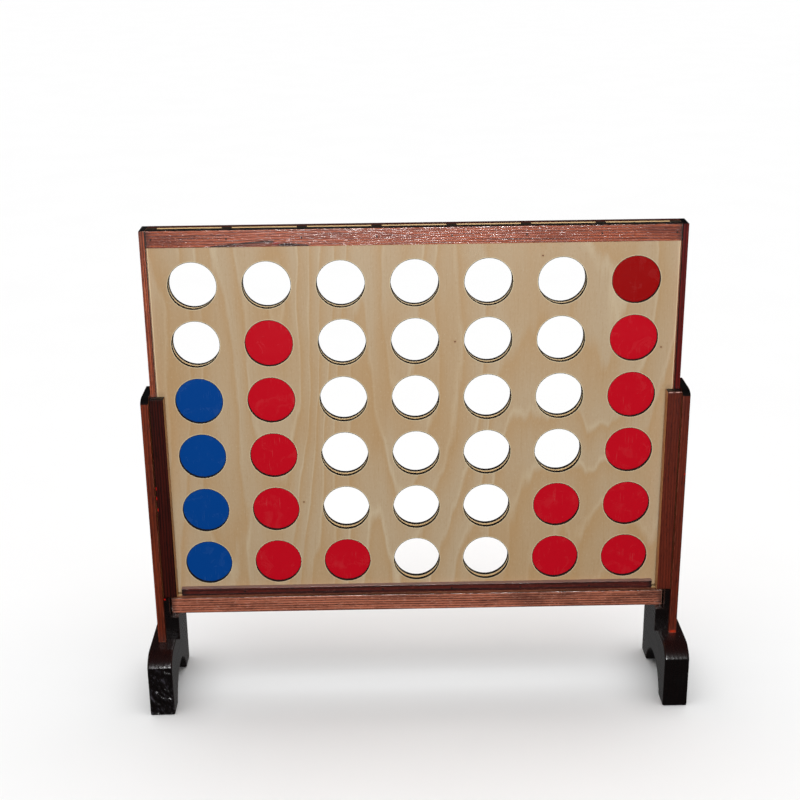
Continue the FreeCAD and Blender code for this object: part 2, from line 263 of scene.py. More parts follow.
DARK_RED = {
    "early": paint(114, 42, 24), "late": paint(88, 29, 15), "deep": paint(26, 5, 3),
    "worn": paint(206, 130, 108), "rough": 0.34, "gloss": 0.35, "streaks": 0.30, "glints": 0.05,
}
DEEP_RED = {
    "early": paint(100, 28, 16), "late": paint(40, 8, 6), "deep": paint(10, 3, 2),
    "worn": paint(170, 106, 92), "rough": 0.40, "gloss": 0.3, "streaks": 0.8, "glints": 0.5,
}
ORANGE_BROWN = {
    "early": paint(134, 52, 24), "late": paint(84, 26, 11), "deep": paint(34, 8, 4),
    "worn": paint(214, 132, 104), "rough": 0.34, "gloss": 0.35, "streaks": 0.5, "glints": 0.10,
}
NEAR_BLACK_BROWN = {
    "early": paint(70, 19, 12), "late": paint(32, 8, 5), "deep": paint(6, 2, 2),
    "worn": paint(120, 60, 44), "rough": 0.36, "gloss": 0.2, "streaks": 0.6, "glints": 0.0,
}
BLACK = {
    "early": paint(34, 14, 12), "late": paint(15, 6, 6), "deep": paint(4, 2, 2),
    "worn": paint(70, 44, 40), "rough": 0.15, "gloss": 0.8, "streaks": 0.5, "glints": 0.0,
}
BARE_PINE = {
    "early": paint(200, 168, 120), "late": paint(166, 122, 76), "deep": paint(96, 76, 54),
    "worn": paint(216, 190, 148), "rough": 0.62, "gloss": 0.25, "streaks": 0.3, "glints": 0.0,
}

# How the trees grew: ring is the width of a year, far how far the heart of the
# trunk is, towards which side, and sway how much the rings wander along it.
FINE = {"ring": 0.0046, "far": 0.060, "towards": 70, "sway": 0.010}
EVEN = {"ring": 0.0046, "far": 0.300, "towards": 90, "sway": 0.0030}
COARSE = {"ring": 0.0070, "far": 0.090, "towards": 35, "sway": 0.008}

# Painted shade: the dark colours painted over faces that look up, where the light leaves them. The black also
# paints the shade in the seams between boards, and the shoulder colour paints the shade on the feet's tops.
PAINTED_SHADE_BLACK = paint(7, 5, 5)
TOP_SHADE_RED = paint(96, 22, 14)
TOP_SHADE_BROWN = paint(74, 62, 48)
SHOULDER_SHADE = paint(36, 10, 8)
# Painted sheen: the pale lilac painted on the bottom rails' tops, for the light they reflect.
LEDGE_SHEEN_LILAC = paint(200, 156, 154)
# Painted highlight: the grey of the glints painted on the left foot's end grain.
PAINTED_END_GLINT = paint(84, 80, 88)

BOARD_SHIFT = 3.7
# How far in from the ends the pooled stain and painted shade reach.
STAIN_AND_SHADE_DEPTH = 0.012
WOOD_RELIEF = 0.0005
BLACK_RELIEF = 0.00012
COAT_RELIEF = 0.00045
COAT_ROUGHNESS = 0.24
COAT_IOR = 2.4
END_SLANT = 26


def grain_space(graph, grain, seed):
    """The place with the fibres along Z, shifted so that no two boards are alike."""
    x, y, z = graph.split(graph.place)
    order = {"X": (y, z, x), "Y": (x, z, y), "Z": (x, y, z)}[grain]
    return graph.mapped(graph.join(*order), shift=(0, 0, BOARD_SHIFT * seed))


def rings(graph, along, tree):
    """0 in a year's soft early wood, rising to 1 in its hard late wood."""
    u, v, _ = graph.split(along)
    slow = graph.mapped(along, scale=(6, 6, 1.7))
    wander_u = graph.linear(graph.noise(slow, 1.0, 2.0), 0, 1, -tree["sway"], tree["sway"])
    other = graph.mapped(along, scale=(6, 6, 1.7), shift=(5.2, 1.3, 8.1))
    wander_v = graph.linear(graph.noise(other, 1.0, 2.0), 0, 1, -tree["sway"], tree["sway"])
    angle = math.radians(tree["towards"])
    du = graph.total(u, wander_u, -tree["far"] * math.cos(angle))
    dv = graph.total(v, wander_v, -tree["far"] * math.sin(angle))
    radius = graph.math("SQRT", graph.total(graph.product(du, du), graph.product(dv, dv)))
    ripple = graph.noise(graph.mapped(along, scale=(120, 120, 5)), 1.0, 2.0)
    radius = graph.total(radius, graph.product(ripple, 0.25 * tree["ring"]))
    year = graph.math("FRACT", graph.math("DIVIDE", radius, tree["ring"]))
    return graph.curve(year, [(0.0, 0.2), (0.12, 0.0), (0.5, 0.2), (0.84, 1.0), (0.95, 0.9), (1.0, 0.2)])


class Grain:
    """The patterns that every board is coloured and roughened with."""

    def __init__(self, graph, along, tree):
        self.year = rings(graph, along, tree)
        self.streak = graph.noise(graph.mapped(along, scale=(260, 260, 5)), 1.0, 3.0, 0.6)
        self.light = graph.noise(graph.mapped(along, scale=(330, 330, 9), shift=(3, 7, 1)), 1.0, 2.0, 0.6)
        self.fibre = graph.noise(graph.mapped(along, scale=(700, 700, 26)), 1.0, 3.0, 0.6)
        self.pore = graph.noise(graph.mapped(along, scale=(620, 620, 70), shift=(1, 2, 3)), 1.0, 2.0)
        self.blotch = graph.noise(graph.mapped(along, scale=(24, 24, 6)), 1.0, 3.0, 0.55)
        self.speckle = graph.noise(graph.mapped(along, scale=(900, 900, 320)), 1.0, 3.0, 0.7)
        self.tuft = graph.noise(graph.mapped(along, scale=(520, 520, 150), shift=(2, 9, 4)), 1.0, 3.0, 0.65)
        self.ridge = graph.noise(graph.mapped(along, scale=(560, 560, 42), shift=(6, 1, 5)), 1.0, 3.0, 0.65)


def stained(graph, look, grain):
    """Colour of a stained board's long faces."""
    colour = graph.mix(grain.year, look["early"], look["late"])
    dark = graph.smooth(grain.streak, 0.47, 0.66, 0.0, look["streaks"])
    colour = graph.mix(dark, colour, look["deep"])
    pale = graph.smooth(grain.light, 0.54, 0.70, 0.0, 0.55)
    colour = graph.mix(pale, colour, look["early"])
    colour = graph.mix(graph.smooth(grain.fibre, 0.52, 0.72, 0.0, 0.40), colour, look["deep"])
    colour = graph.mix(graph.smooth(grain.blotch, 0.52, 0.72, 0.0, 0.60), colour, look["late"])
    colour = graph.mix(graph.smooth(grain.blotch, 0.48, 0.28, 0.0, 0.35), colour, look["early"])
    colour = graph.mix(graph.smooth(grain.tuft, 0.56, 0.70, 0.0, 0.45), colour, look["deep"])
    # Pale flecks of the worn colour, as strong as the look's glints: partly rubbed fibre tips, partly painted
    # sparkle of the light on the rough fibres.
    colour = graph.mix(graph.smooth(grain.tuft, 0.44, 0.30, 0.0, 0.5 * look["glints"]), colour, look["worn"])
    return graph.mix(graph.smooth(grain.pore, 0.60, 0.70, 0.0, 0.6), colour, look["deep"])


def rubbed(graph, colour, look, low, high, wear):
    """Arrises rubbed pale by hands and by the other boards, here and there."""
    rub = graph.smooth(graph.noise(graph.place, 90, 3.0), 0.42, 0.62)
    edge = graph.smooth(graph.from_edge(low, high), 0.0003, 0.0012, 1.0, 0.0)
    return graph.mix(graph.product(edge, rub, wear), colour, look["worn"])


def wood_height(graph, grain, layers, torn):
    """How far the fibres and the hard year rings stand up, more so on torn end grain."""
    height = graph.total(graph.product(layers.fibre, 0.6), graph.product(layers.year, 0.35),
                         graph.product(layers.streak, 0.6), graph.product(layers.speckle, 0.35))
    return graph.product(height, graph.total(1.0, graph.product(graph.faces(grain), torn)))


def wood(name, look, tree, grain, seed, box, ends_stain_and_shade=0.0, top=None, inside=None, wear=0.6,
         relief=WOOD_RELIEF, torn=0.0, marks=()):
    """A sawn board: year rings, fibres, blotches of stain, dark end grain and rubbed edges.

    The fibres run along grain, an axis. The ends are darkened by a given share, partly stain soaked
    in near the end grain and partly painted shade where the board meets its neighbours. top is a
    (colour, share) painted over the faces that look up, as painted shade or a painted sheen, and
    inside a (colour, share) of the faces square to X, painted as reflected light on the guides. wear
    is how far the edges are rubbed back, relief the depth of the fibres, torn how much deeper they
    are at the ends, and each mark paints something more on top.
    """
    graph = Graph(name)
    low, high = box
    layers = Grain(graph, grain_space(graph, grain, seed), tree)
    colour = stained(graph, look, layers)
    # The ends are darkened with the deep colour: partly stain soaked in near the end grain, partly painted
    # shade where the board meets its neighbours.
    if ends_stain_and_shade:
        inwards = graph.from_face(low, high, grain)
        colour = graph.mix(graph.smooth(inwards, 0.0, STAIN_AND_SHADE_DEPTH, ends_stain_and_shade, 0.0), colour, look["deep"])
    colour = graph.mix(graph.product(graph.faces(grain), 0.8), colour, darker(look["deep"], 0.7))
    if inside:
        colour = graph.mix(graph.product(graph.faces("X"), inside[1]), colour, inside[0])
    if top:
        colour = graph.mix(graph.product(graph.faces_up(), top[1]), colour, top[0])
    colour = rubbed(graph, colour, look, low, high, wear)
    for mark in marks:
        colour = mark(graph, colour)
    roughness = graph.total(look["rough"], graph.product(layers.fibre, 0.14),
                            graph.product(layers.blotch, 0.10))
    normal = graph.bump(wood_height(graph, grain, layers, torn), relief)
    raised = graph.total(layers.ridge, graph.product(layers.tuft, 0.10))
    return graph.finish(colour, roughness, normal, graph.bump(raised, COAT_RELIEF),
                        Specular_IOR_Level=look["gloss"], Coat_Weight=look["glints"],
                        Coat_Roughness=COAT_ROUGHNESS, Coat_IOR=COAT_IOR)


# ---- marks on single boards ------------------------------------------------------
def spots(places, tint, inner, outer, shape=(1.0, 1.0)):
    """A spot at each place in the plane of X and Z."""
    def mark(graph, colour):
        return graph.mix(graph.near_spots("XZ", places, inner, outer, shape), colour, tint)
    return mark


def painted_end_glints(tint):
    """Painted highlights: broken slanting glints painted along the ribs of torn end grain."""
    def mark(graph, colour):
        slanted = graph.mapped(graph.place, turn=(0, END_SLANT, 0))
        slanted = graph.mapped(slanted, scale=(300, 1, 64))
        ribs = graph.smooth(graph.noise(slanted, 1.0, 3.0, 0.6, 0.8), 0.54, 0.66)
        broken = graph.smooth(graph.noise(graph.place, 150, 2.0), 0.42, 0.60)
        return graph.mix(graph.product(ribs, broken, graph.faces("Y"), 0.8), colour, tint)
    return mark


def shade_line_beside(x, width):
    """Painted shade: a dark line along the upright plane at x, in the seam where one board meets the next."""
    def mark(graph, colour):
        off = graph.math("ABSOLUTE", graph.math("SUBTRACT", graph.split(graph.place)[0], x))
        seam = graph.smooth(off, 0.5 * width, width, 0.9, 0.0)
        return graph.mix(graph.product(seam, graph.faces("Y")), colour, PAINTED_SHADE_BLACK)
    return mark


def highlight_along_top(level, tint):
    """A painted highlight: a thin line of light painted on the eased arris at the top."""
    def mark(graph, colour):
        off = graph.math("ABSOLUTE", graph.math("SUBTRACT", graph.split(graph.place)[2], level - 0.0016))
        broken = graph.smooth(graph.noise(graph.place, 130, 2.0), 0.34, 0.54)
        line = graph.smooth(off, 0.0004, 0.0013, 0.8, 0.0)
        return graph.mix(graph.product(line, broken, graph.faces("Y")), colour, tint)
    return mark


def cathedral(look, points):
    """A flat dark arch of grain, where the saw cut through the top of a swelling.

    The points are where its line runs, as (x, z) from left to right.
    """
    def mark(graph, colour):
        x, _, z = graph.split(graph.place)
        left, right = points[0][0], points[-1][0]
        base = min(level for place, level in points)
        tall = max(level for place, level in points) - base
        share = graph.linear(x, left, right)
        stops = [((place - left) / (right - left), (level - base) / tall) for place, level in points]
        line = graph.total(graph.product(graph.curve(share, stops), tall), base)
        fibres = graph.noise(graph.mapped(graph.place, scale=(60, 60, 400)), 1.0, 2.0)
        ragged = graph.linear(fibres, 0, 1, -0.0012, 0.0012)
        off = graph.total(z, ragged, graph.product(line, -1))
        within = graph.product(graph.smooth(share, 0.0, 0.12), graph.smooth(share, 1.0, 0.90))
        arch = graph.smooth(graph.math("ABSOLUTE", off), 0.0006, 0.0024, 0.95, 0.0)
        below = graph.smooth(off, -0.0060, 0.0, 0.35, 0.8)
        under = graph.product(below, graph.smooth(off, 0.0, 0.0012, 1.0, 0.0))
        shade = graph.product(graph.math("MAXIMUM", arch, under), within)
        return graph.mix(shade, colour, look["deep"])
    return mark


# ---- plywood -------------------------------------------------------------------
VENEER_LIGHT = paint(203, 178, 144)
VENEER_WARM = paint(196, 156, 106)
VENEER_PALE = paint(222, 202, 168)
VENEER_LINE = paint(176, 136, 88)
CUT_EDGE_AND_HIGHLIGHT = paint(240, 222, 182)
SCORCH = paint(26, 8, 4)
CHAR = paint(5, 3, 2)
BURNT_RIM = paint(44, 24, 14)
CORE_DARK = paint(112, 82, 54)
PIN_KNOT = paint(112, 58, 26)
PALE_INNER_FACE = paint(255, 214, 150)
HOLE_RADIUS = 0.0403
BOTTOM_HOLE_Z = 0.2543
ROWS = 6
PLIES = 5
VENEER_RELIEF = 0.00014
PANEL_SEEDS = {"front": 1.7, "rear": 4.8}
PANEL_KNOTS = ((0.2128, 0.8055), (0.0674, 0.6588), (0.4169, 0.6435), (-0.1974, 0.3683))


def grid_places():
    """The middle of each column of holes, and the distance between two rows."""
    openings = frame["record"]["physics"]["openings"]
    channels = [one["box_m"] for one in openings if one["name"].startswith("column_")]
    columns = sorted((low[0] + high[0]) / 2 for low, high in channels)
    first, second = middle("red_disc_7_1"), middle("red_disc_7_2")
    return columns, second.z - first.z


def off_grid(graph, part, first, pitch, count):
    """How far a coordinate is from the nearest of count evenly spaced lines."""
    number = graph.math("ROUND", graph.math("DIVIDE", graph.math("SUBTRACT", part, first), pitch))
    number = graph.math("MINIMUM", graph.math("MAXIMUM", number, 0), count - 1)
    return graph.math("SUBTRACT", part, graph.math("MULTIPLY_ADD", number, pitch, first))


def hole_distance(graph):
    """Distance of a point on a panel from the middle of the nearest hole."""
    columns, row_pitch = grid_places()
    x, _, z = graph.split(graph.place)
    across = off_grid(graph, x, columns[0], columns[1] - columns[0], len(columns))
    up = off_grid(graph, z, BOTTOM_HOLE_Z, row_pitch, ROWS)
    return graph.math("SQRT", graph.total(graph.product(across, across), graph.product(up, up)))


def contours(graph, flat, seed):
    """Where the knife cut each year: 0 to 1 across a year, in tall leaning arches."""
    x, _, z = graph.split(flat)
    tall = graph.mapped(flat, scale=(4.4, 1, 0.95), shift=(seed, 0, 2.3 * seed))
    hills = graph.noise(tall, 1.0, 1.0, 0.4)
    waves = graph.noise(graph.mapped(flat, scale=(26, 1, 5.0), shift=(0, seed, 0)), 1.0, 2.0)
    shiver = graph.noise(graph.mapped(flat, scale=(90, 1, 34)), 1.0, 2.0)
    level = graph.total(graph.product(hills, 15.0), graph.product(waves, 1.2), graph.product(shiver, 0.10),
                        graph.product(x, 16.0), graph.product(z, -1.6))
    return graph.math("FRACT", level)


def veneer(graph, seed):
    """Colour and height of rotary-cut veneer: a pale line and a warm shade at each year's edge."""
    x, _, z = graph.split(graph.place)
    flat = graph.join(x, 0.0, z)
    year = contours(graph, flat, seed)
    warm = graph.curve(year, [(0.0, 0.05), (0.06, 0.35), (0.14, 0.95), (0.36, 0.55), (0.70, 0.1), (1.0, 0.0)])
    pale = graph.curve(year, [(0.0, 0.9), (0.05, 0.35), (0.10, 0.0), (0.88, 0.0), (0.96, 0.6), (1.0, 0.9)])
    tone = graph.noise(graph.mapped(flat, scale=(9, 1, 2.4), shift=(seed, 4, 1)), 1.0, 3.0)
    patches = graph.mapped(flat, scale=(7, 1, 4), shift=(2, seed, 6))
    clear = graph.smooth(graph.noise(patches, 1.0, 2.0), 0.35, 0.6)
    fibre = graph.noise(graph.mapped(flat, scale=(420, 1, 16)), 1.0, 3.0, 0.6)
    fine = graph.noise(graph.mapped(flat, scale=(900, 1, 90)), 1.0, 2.0, 0.6)
    fleck = graph.noise(graph.mapped(flat, scale=(330, 1, 190)), 1.0, 3.0, 0.6)
    colour = graph.mix(graph.product(warm, 0.65), VENEER_LIGHT, VENEER_WARM)
    colour = graph.mix(graph.product(pale, clear, 0.65), colour, VENEER_PALE)
    colour = graph.mix(graph.smooth(tone, 0.44, 0.66, 0.0, 0.5), colour, VENEER_WARM)
    colour = graph.mix(graph.smooth(fibre, 0.50, 0.74, 0.0, 0.25), colour, VENEER_LINE)
    colour = graph.mix(graph.smooth(fine, 0.52, 0.74, 0.0, 0.20), colour, VENEER_LINE)
    colour = graph.mix(graph.smooth(fleck, 0.56, 0.74, 0.0, 0.35), colour, VENEER_LINE)
    colour = graph.mix(graph.smooth(fleck, 0.44, 0.28, 0.0, 0.30), colour, VENEER_PALE)
    height = graph.total(graph.product(fibre, 0.8), graph.product(fleck, 0.6), graph.product(fine, 0.4))
    return colour, height


def burnt(graph):
    """Scorched and charred wood, as the cutter left it."""
    burn = graph.noise(graph.mapped(graph.place, scale=(60, 900, 60)), 1.0, 3.0)
    return graph.mix(graph.smooth(burn, 0.35, 0.65), CHAR, SCORCH)


def layered(graph, low, high, top):
    """The cut edge of a sheet: its plies, with painted shade over the top."""
    depth = graph.math("SUBTRACT", graph.split(graph.place)[1], low.y)
    ply = graph.math("PINGPONG", depth, (high.y - low.y) / PLIES)
    layers = graph.mix(graph.smooth(ply, 0.0005, 0.0009), VENEER_WARM, CORE_DARK)
    return graph.mix(graph.product(graph.faces_up(), 0.95), layers, top)


def knotted(graph, colour, knots):
    """Pin knots, each with a faint halo."""
    for spot in knots:
        halo = graph.near_spots("XZ", [spot], 0.0010, 0.0050)
        colour = graph.mix(graph.product(halo, 0.35), colour, VENEER_LINE)
        colour = graph.mix(graph.near_spots("XZ", [spot], 0.0008, 0.0019), colour, PIN_KNOT)
    return colour


def cut_rims(graph, colour, distance, low, high):
    """A pale chipped line and a scorched one round each hole, and a painted highlight, a pale line, down the
    sides.
    """
    ragged = graph.noise(graph.place, 160, 3.0)
    rim = graph.total(distance, graph.product(ragged, -0.0006))
    chipped = graph.smooth(rim, HOLE_RADIUS + 0.0010, HOLE_RADIUS + 0.0019, 0.75, 0.0)
    colour = graph.mix(chipped, colour, CUT_EDGE_AND_HIGHLIGHT)
    scorched = graph.smooth(rim, HOLE_RADIUS + 0.0002, HOLE_RADIUS + 0.0007, 0.95, 0.0)
    colour = graph.mix(scorched, colour, BURNT_RIM)
    # Painted highlight: a pale line on the face along each side edge.
    border = graph.smooth(graph.from_face(low, high, "X"), 0.0008, 0.0018, 0.7, 0.0)
    return graph.mix(border, colour, CUT_EDGE_AND_HIGHLIGHT)


def plywood(name, seed, box, top, knots=(), pale_inner=None):
    """Clear-coated veneer, layered edges, and hole walls burnt by the cutter.

    top is the painted shade along the top edge, and bare is a paler colour painted over the face
    that looks forward into the board.
    """
    graph = Graph(name)
    low, high = box
    colour, height = veneer(graph, seed)
    colour = knotted(graph, colour, knots)
    if pale_inner:
        # The face that looks forward into the board is painted paler.
        forward = graph.smooth(graph.split(graph.facing)[1], -0.6, -0.9)
        colour = graph.mix(graph.product(forward, 0.75), colour, pale_inner)
    distance = hole_distance(graph)
    colour = cut_rims(graph, colour, distance, low, high)
    edge_face = graph.math("SUBTRACT", 1.0, graph.faces("Y"))
    at_hole = graph.smooth(distance, HOLE_RADIUS + 0.0003, HOLE_RADIUS + 0.0006, 1.0, 0.0)
    edge_colour = graph.mix(at_hole, layered(graph, low, high, top), burnt(graph))
    colour = graph.mix(edge_face, colour, edge_colour)
    roughness = graph.total(0.40, graph.product(height, 0.06), graph.product(edge_face, 0.5))
    return graph.finish(colour, roughness, graph.bump(height, VENEER_RELIEF), Specular_IOR_Level=0.6)


# ---- plastic and metal ----------------------------------------------------------
HAIRLINE_TURNS = (25, -38, 74)
PLASTIC_RELIEF = 0.00016
STEEL_RELIEF = 0.00005


def scratches(graph, turn, seed):
    """Thin broken hairlines that run one way."""
    lines = graph.mapped(graph.place, turn=(0, turn, 0), scale=(1500, 60, 30), shift=(seed, 0, seed))
    hair = graph.smooth(graph.noise(lines, 1.0, 1.0), 0.66, 0.76)
    patch = graph.smooth(graph.noise(graph.mapped(graph.place, shift=(seed, 2, seed)), 26, 2.0), 0.55, 0.68)
    return graph.product(hair, patch)


def plastic(name, colour, pale, seed):
    """Glossy moulded plastic, rubbed by play: smudges, hairlines and a slight ripple."""
    graph = Graph(name)
    smudge = graph.noise(graph.mapped(graph.place, shift=(seed, 0, 0)), 30, 5.0, 0.6, 0.8)
    cloud = graph.smooth(smudge, 0.50, 0.78)
    marks = scratches(graph, HAIRLINE_TURNS[0], seed)
    for turn in HAIRLINE_TURNS[1:]:
        marks = graph.math("MAXIMUM", marks, scratches(graph, turn, seed + turn))
    speck = graph.smooth(graph.noise(graph.place, 420, 2.0), 0.74, 0.80)
    body = graph.mix(graph.product(graph.noise(graph.place, 14, 2.0), 0.25), colour, darker(colour, 0.8))
    worn = graph.mix(graph.product(cloud, 0.06), body, pale)
    worn = graph.mix(graph.product(marks, 0.35), worn, pale)
    worn = graph.mix(graph.product(speck, 0.25), worn, pale)
    roughness = graph.total(0.24, graph.product(cloud, 0.16), graph.product(marks, 0.25))
    ripple = graph.noise(graph.place, 60, 2.0)
    height = graph.total(graph.product(ripple, 0.6), graph.product(marks, -0.25), graph.product(smudge, 0.2))
    return graph.finish(worn, roughness, graph.bump(height, PLASTIC_RELIEF), Specular_IOR_Level=0.4)


def metal(name, colour, dull, roughness):
    """Drawn steel with tarnish and fine scratches."""
    graph = Graph(name)
    tarnish = graph.smooth(graph.noise(graph.place, 700, 4.0, 0.6), 0.40, 0.70)
    scratch = graph.noise(graph.mapped(graph.place, scale=(2400, 300, 2400)), 1.0, 2.0)
    body = graph.mix(tarnish, colour, dull)
    rough = graph.total(roughness, graph.product(tarnish, 0.25), graph.product(scratch, 0.1))
    return graph.finish(body, rough, graph.bump(scratch, STEEL_RELIEF), Metallic=1.0)


# ---- giving every node its material ---------------------------------------------
def dress(node, material):
    """Give a CAD node this material and no other."""
    data = frame["nodes"][node].data
    data.materials.clear()
    data.materials.append(material)


def middle(node):
    low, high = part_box(node)
    return (low + high) / 2


def brad_spots(rail):
    """Where the brads go through a rail: over each divider and edge strip."""
    level = middle(rail).z
    strips = [f"divider_{number}" for number in DIVIDERS]
    strips += [f"{side}_edge_spacer" for side in SIDES]
    low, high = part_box(rail)
    places = [(middle(strip).x, level) for strip in strips]
    return [place for place in places if low.x < place[0] < high.x]


SWELLING = ((-0.345, 0.8298), (-0.310, 0.8322), (-0.2775, 0.8358), (-0.2446, 0.8388),
            (-0.2330, 0.8380), (-0.2236, 0.8330), (-0.2050, 0.8328), (-0.1850, 0.8300))
SECOND_SWELLING = ((-0.224, 0.8306), (-0.212, 0.8342), (-0.196, 0.8328), (-0.170, 0.8300))
STAIN_RED = paint(170, 34, 20)
FLECK_RED = paint(214, 26, 16)
DRIP_ORANGE = paint(200, 52, 14)
# Painted highlight along the top arrises of the posts and guides.
HIGHLIGHT_PINK = paint(226, 176, 164)
# Painted reflected light: the tan painted on the guides' inner faces, for the light the plywood bounces onto
# them.
BOUNCE_TAN = paint(206, 146, 88)
ROSE_FACE = paint(168, 80, 54)
BROWN_FACE = paint(150, 66, 40)
FLECKS = {
    "left_front_guide": ((-0.4496, 0.4100), (-0.4500, 0.3916), (-0.4492, 0.3700)),
    "right_post": ((0.4632, 0.4235),),
    "left_rest_cheek": ((-0.4498, 0.1947),),
}
STAIN_SPOT = (-0.2268, 0.8352)

# Which part of the grain's pattern each board is cut from.
RAIL_SEEDS = {"front": 2, "rear": 3}
SIDE_SEEDS = {"left": 4, "right": 5}
SPACER_SEEDS = {"left": 6, "right": 7}
DIVIDER_SEED = 8
POST_SEEDS = {"left": 20, "right": 25}
GUIDE_SEEDS = {"left": 21, "right": 26}
BLACK_SEEDS = {"left": 30, "right": 35}
LIP_SEED = 41
PLATE_SEED = 42


def brad_marks(rail, look):
    """Dark dents over the brads' heads."""
    return spots(brad_spots(rail), darker(look["deep"], 0.4), 0.0010, 0.0024)


def dress_top_rail(end):
    rail = f"{end}_top_rail"
    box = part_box(rail)
    marks = [brad_marks(rail, REDDISH)]
    # Painted shade in the seams at the rail's ends.
    marks += [shade_line_beside(corner.x, 0.0018) for corner in box]
    if end == "front":
        marks.append(cathedral(REDDISH, SWELLING))
        marks.append(cathedral(REDDISH, SECOND_SWELLING))
        marks.append(spots([STAIN_SPOT], STAIN_RED, 0.0010, 0.0060, (1.6, 0.5)))
    # The rail's top is painted dark, a painted shade where the light leaves it.
    top = (PAINTED_SHADE_BLACK, 1.0) if end == "front" else (TOP_SHADE_RED, 0.9)
    dress(rail, wood(rail, REDDISH, FINE, "X", RAIL_SEEDS[end], box, 0.6, top, marks=marks))


def dress_bottom_rail(end):
    rail = f"{end}_bottom_rail"
    marks = [brad_marks(rail, DEEP_RED)]
    # The rail's top is painted pale lilac, a painted sheen of reflected light.
    dress(rail, wood(rail, DEEP_RED, COARSE, "X", RAIL_SEEDS[end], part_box(rail), 0.8,
                     (LEDGE_SHEEN_LILAC, 0.45), marks=marks))


def dress_sides():
    looks = zip(SIDES, (REDDISH, RED_SIDE), ((BROWN_FACE, 0.8), (ROSE_FACE, 0.8)))
    for side, look, inside in looks:
        board = f"{side}_side_board"
        low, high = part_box(board)
        # Painted shade in the seam beside the panel.
        seam = shade_line_beside(high.x if side == "left" else low.x, 0.0024)
        # The board's top is painted dark, a painted shade.
        dress(board, wood(board, look, FINE, "Z", SIDE_SEEDS[side], (low, high), 0.3,
                          (PAINTED_SHADE_BLACK, 1.0), inside, marks=[seam]))
        spacer = f"{side}_edge_spacer"
        # The strip's top is painted darker brown, a painted shade.
        dress(spacer, wood(spacer, BARE_PINE, COARSE, "Z", SPACER_SEEDS[side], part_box(spacer),
                           top=(TOP_SHADE_BROWN, 0.9)))


def dress_board():
    for end in ENDS:
        knots = PANEL_KNOTS if end == "front" else ()
        panel = f"{end}_panel"
        # The panel's top edge gets painted shade.
        top = PAINTED_SHADE_BLACK if end == "front" else TOP_SHADE_RED
        pale_inner = PALE_INNER_FACE if end == "rear" else None
        dress(panel, plywood(panel, PANEL_SEEDS[end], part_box(panel), top, knots, pale_inner))
        dress_top_rail(end)
        dress_bottom_rail(end)
    dress_sides()
    for number in DIVIDERS:
        strip = f"divider_{number}"
        # The strip's top is painted darker brown, a painted shade.
        dress(strip, wood(strip, BARE_PINE, COARSE, "Z", DIVIDER_SEED + number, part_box(strip),
                          top=(TOP_SHADE_BROWN, 0.95), wear=0.1))


def dress_post(side, look):
    node = f"{side}_post"
    low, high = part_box(node)
    # A painted highlight along the top arris.
    marks = [highlight_along_top(high.z, HIGHLIGHT_PINK)]
    if side == "right":
        marks.append(spots(FLECKS[node], FLECK_RED, 0.0005, 0.0018, (1.2, 1.2)))
        drip = (middle(node).x, low.z + 0.003)
        marks.append(spots([drip], DRIP_ORANGE, 0.0010, 0.0070, (1.4, 0.6)))
    # The post's top is painted dark, a painted shade.
    dress(node, wood(node, look, FINE, "Z", POST_SEEDS[side], (low, high), 0.2, (PAINTED_SHADE_BLACK, 1.0),
                     marks=marks))


def dress_guides(side, look):
    for number, end in enumerate(ENDS):
        node = f"{side}_{end}_guide"
        low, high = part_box(node)
        outer = low.x if side == "left" else high.x
        # Painted shade in the seam at the guide's outer side.
        marks = [shade_line_beside(outer, 0.0022)]
        if side == "right":
            # A painted highlight along the top arris.
            marks.append(highlight_along_top(high.z, HIGHLIGHT_PINK))
        if node in FLECKS:
            marks.append(spots(FLECKS[node], FLECK_RED, 0.0004, 0.0015, (0.7, 3.0)))
        # The guide's inner faces are painted tan, a painted reflection of light bounced off the plywood, and
        # its top gets painted shade.
        dress(node, wood(node, look, FINE, "Z", GUIDE_SEEDS[side] + number, (low, high), 0.2,
                         (PAINTED_SHADE_BLACK, 1.0), (BOUNCE_TAN, 0.85), marks=marks))


def dress_black(side):
    """The near-black blocks and foot of one leg."""
    for number, part in enumerate(("stop_block", "rest_cheek", "slide_shelf", "foot")):
        node = f"{side}_{part}"
        marks = []
        if node == "left_rest_cheek":
            marks = [spots(FLECKS[node], FLECK_RED, 0.0006, 0.0024)]
        if node == "left_foot":
            # Painted highlights: glints painted along the ribs of the foot's end grain.
            marks = [painted_end_glints(PAINTED_END_GLINT)]
        # The foot's shoulder is painted dark, a painted shade where the light leaves it.
        top = (SHOULDER_SHADE, 0.5) if part == "foot" else None
        torn = 2.5 if node == "left_foot" else 0.5
        dress(node, wood(node, BLACK, COARSE, "Y", BLACK_SEEDS[side] + number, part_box(node), top=top,
                         wear=0.3, relief=BLACK_RELIEF, torn=torn, marks=marks))


def dress_legs():
    looks = {"left": (ORANGE_BROWN, NEAR_BLACK_BROWN), "right": (DARK_RED, DARK_RED)}
    for side, (post_look, guide_look) in looks.items():
        dress_post(side, post_look)
        dress_guides(side, guide_look)
        dress_black(side)


def dress_release_bar():
    for node, look, tree, seed, ends_stain_and_shade in (("release_lip", PINKISH, EVEN, LIP_SEED, 0.7),
                                           ("release_plate", BARE_PINE, FINE, PLATE_SEED, 0.0)):
        dress(node, wood(node, look, tree, "X", seed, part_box(node), ends_stain_and_shade))


# ---- the feet's rough end grain ----------------------------------------------------
# Only faces that look forward or back by more than END_FACING are ribbed, this deep.
FOOT_GRID = 0.0015
FOOT_RIBS = {"left": 0.0034, "right": 0.0011}
FOOT_SEEDS = {"left": 5, "right": 6}
END_FACING = 0.94
RIB_SLANT = 0.5


